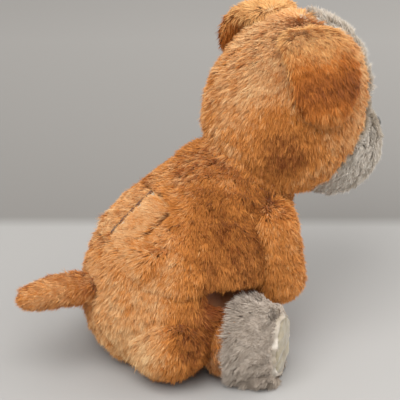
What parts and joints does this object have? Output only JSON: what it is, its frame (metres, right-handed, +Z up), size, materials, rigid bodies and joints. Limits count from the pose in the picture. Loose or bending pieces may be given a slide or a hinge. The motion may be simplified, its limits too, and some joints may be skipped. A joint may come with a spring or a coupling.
{
  "type": "interactive plush pet",
  "caption": "Sitting plush puppy with a turning head, hinged jaw, ears and arms, a wagging tail and a back opening over its battery tray.",
  "frame": {"origin": "at the seat mount: on the resting plane, in the mid plane, under the front half of the torso", "axes": "+Z up; the puppy faces -Y and its right side is at -X"},
  "size_m": [0.2216, 0.3299, 0.2822],
  "materials": {
    "torso_plush_finish": "long pile",
    "thigh_right_finish": "long pile",
    "thigh_left_finish": "long pile",
    "shin_right_finish": "long pile",
    "shin_left_finish": "long pile",
    "hind_paw_right_finish": "long pile",
    "hind_paw_left_finish": "long pile",
    "sole_pad_right_finish": "satin",
    "sole_pad_left_finish": "satin",
    "housing_base_finish": "moulded",
    "housing_lid_finish": "moulded",
    "housing_screw_1_finish": "plain",
    "housing_screw_2_finish": "plain",
    "housing_screw_3_finish": "plain",
    "housing_screw_4_finish": "plain",
    "cell_1_finish": "wrapped",
    "cell_2_finish": "wrapped",
    "cell_3_finish": "wrapped",
    "battery_contact_right_finish": "plain",
    "battery_contact_left_finish": "plain",
    "circuit_board_finish": "glass laminate",
    "speaker_finish": "moulded",
    "neck_can_finish": "moulded",
    "neck_cover_finish": "moulded",
    "neck_motor_finish": "plain",
    "tail_motor_finish": "plain",
    "tail_pin_finish": "plain",
    "head_plush_finish": "long pile",
    "blaze_plush_finish": "long pile",
    "muzzle_plush_finish": "long pile",
    "nose_finish": "satin",
    "eye_right_finish": "polished",
    "eye_left_finish": "polished",
    "skull_base_finish": "moulded",
    "skull_cap_finish": "moulded",
    "neck_post_finish": "moulded",
    "neck_gear_finish": "moulded",
    "snout_frame_finish": "moulded",
    "jaw_coil_finish": "wound wire",
    "jaw_pin_finish": "plain",
    "jaw_frame_finish": "moulded",
    "jaw_magnet_finish": "plain",
    "chin_plush_finish": "long pile",
    "head_button_finish": "moulded",
    "ear_right_finish": "long pile",
    "ear_left_finish": "long pile",
    "arm_right_finish": "long pile",
    "arm_left_finish": "long pile",
    "back_flap_right_finish": "long pile",
    "closure_strip_right_finish": "woven tape",
    "back_flap_left_finish": "long pile",
    "closure_strip_left_finish": "woven tape",
    "battery_door_finish": "moulded",
    "power_switch_finish": "moulded",
    "neck_pinion_finish": "moulded",
    "tail_arm_finish": "moulded",
    "tail_plush_finish": "long pile",
    "tail_pinion_finish": "moulded"
  },
  "bodies": {
    "torso": {"torso_plush": "torso_plush_finish", "thigh_right": "thigh_right_finish", "thigh_left": "thigh_left_finish", "shin_right": "shin_right_finish", "shin_left": "shin_left_finish", "hind_paw_right": "hind_paw_right_finish", "hind_paw_left": "hind_paw_left_finish", "sole_pad_right": "sole_pad_right_finish", "sole_pad_left": "sole_pad_left_finish", "housing_base": "housing_base_finish", "housing_lid": "housing_lid_finish", "housing_screw_1": "housing_screw_1_finish", "housing_screw_2": "housing_screw_2_finish", "housing_screw_3": "housing_screw_3_finish", "housing_screw_4": "housing_screw_4_finish", "cell_1": "cell_1_finish", "cell_2": "cell_2_finish", "cell_3": "cell_3_finish", "battery_contact_right": "battery_contact_right_finish", "battery_contact_left": "battery_contact_left_finish", "circuit_board": "circuit_board_finish", "speaker": "speaker_finish", "neck_can": "neck_can_finish", "neck_cover": "neck_cover_finish", "neck_motor": "neck_motor_finish", "tail_motor": "tail_motor_finish", "tail_pin": "tail_pin_finish"},
    "head": {"head_plush": "head_plush_finish", "blaze_plush": "blaze_plush_finish", "muzzle_plush": "muzzle_plush_finish", "nose": "nose_finish", "eye_right": "eye_right_finish", "eye_left": "eye_left_finish", "skull_base": "skull_base_finish", "skull_cap": "skull_cap_finish", "neck_post": "neck_post_finish", "neck_gear": "neck_gear_finish", "snout_frame": "snout_frame_finish", "jaw_coil": "jaw_coil_finish", "jaw_pin": "jaw_pin_finish"},
    "jaw": {"jaw_frame": "jaw_frame_finish", "jaw_magnet": "jaw_magnet_finish", "chin_plush": "chin_plush_finish"},
    "head_button": {"head_button": "head_button_finish"},
    "ear_right": {"ear_right": "ear_right_finish"},
    "ear_left": {"ear_left": "ear_left_finish"},
    "arm_right": {"arm_right": "arm_right_finish"},
    "arm_left": {"arm_left": "arm_left_finish"},
    "back_flap_right": {"back_flap_right": "back_flap_right_finish", "closure_strip_right": "closure_strip_right_finish"},
    "back_flap_left": {"back_flap_left": "back_flap_left_finish", "closure_strip_left": "closure_strip_left_finish"},
    "battery_door": {"battery_door": "battery_door_finish"},
    "power_switch": {"power_switch": "power_switch_finish"},
    "neck_pinion": {"neck_pinion": "neck_pinion_finish"},
    "tail": {"tail_arm": "tail_arm_finish", "tail_plush": "tail_plush_finish"},
    "tail_pinion": {"tail_pinion": "tail_pinion_finish"}
  },
  "joints": [
    {"name": "head_turn", "type": "hinge", "parent": "torso", "child": "head", "pos_m": [0, -0.084, 0.204], "axis": [0, -0.4695, 0.8829], "range_deg": [-30, 30]},
    {"name": "neck_pinion_spin", "type": "hinge", "parent": "torso", "child": "neck_pinion", "pos_m": [0, -0.06811, 0.21245], "axis": [0, -0.4695, 0.8829], "range_deg": [-62, 62]},
    {"name": "jaw_open", "type": "hinge", "parent": "head", "child": "jaw", "pos_m": [0, -0.102, 0.15], "axis": [1, 0, 0], "range_deg": [0, 12], "stiffness_Nm_per_rad": 0.03, "springref_deg": -20.05},
    {"name": "head_button_press", "type": "slide", "parent": "head", "child": "head_button", "axis": [0, 0.4695, -0.8829], "range_m": [0, 0.0015], "stiffness_N_per_m": 300, "springref_m": -0.002},
    {"name": "ear_right_lift", "type": "hinge", "parent": "head", "child": "ear_right", "pos_m": [-0.026, -0.085, 0.2745], "axis": [0, 1, 0], "range_deg": [0, 45]},
    {"name": "ear_left_lift", "type": "hinge", "parent": "head", "child": "ear_left", "pos_m": [0.026, -0.085, 0.2745], "axis": [0, -1, 0], "range_deg": [0, 45]},
    {"name": "arm_right_swing", "type": "hinge", "parent": "torso", "child": "arm_right", "pos_m": [-0.052, -0.05, 0.127], "axis": [-1, 0, 0], "range_deg": [0, 18]},
    {"name": "arm_left_swing", "type": "hinge", "parent": "torso", "child": "arm_left", "pos_m": [0.052, -0.05, 0.127], "axis": [-1, 0, 0], "range_deg": [0, 18]},
    {"name": "back_flap_right_open", "type": "hinge", "parent": "torso", "child": "back_flap_right", "pos_m": [-0.0265, 0.05348, 0.13209], "axis": [0, -0.7771, 0.6293], "range_deg": [0, 75]},
    {"name": "back_flap_left_open", "type": "hinge", "parent": "torso", "child": "back_flap_left", "pos_m": [0.0265, 0.05348, 0.13209], "axis": [0, 0.7771, -0.6293], "range_deg": [0, 75]},
    {"name": "battery_door_slide", "type": "slide", "parent": "torso", "child": "battery_door", "axis": [-1, 0, 0], "range_m": [0, 0.009]},
    {"name": "power_switch_slide", "type": "slide", "parent": "torso", "child": "power_switch", "axis": [1, 0, 0], "range_m": [0, 0.004]},
    {"name": "tail_wag", "type": "hinge", "parent": "torso", "child": "tail", "pos_m": [0, 0.076, 0.075], "axis": [0, 0, 1], "range_deg": [-20, 20]},
    {"name": "tail_pinion_spin", "type": "hinge", "parent": "torso", "child": "tail_pinion", "pos_m": [0, 0.054, 0.075], "axis": [0, 0, 1], "range_deg": [-55, 55]}
  ],
  "couplings": [
    {"joint": "neck_pinion_spin", "follows": "head_turn", "ratio": -2},
    {"joint": "tail_pinion_spin", "follows": "tail_wag", "ratio": -2.6667}
  ]
}
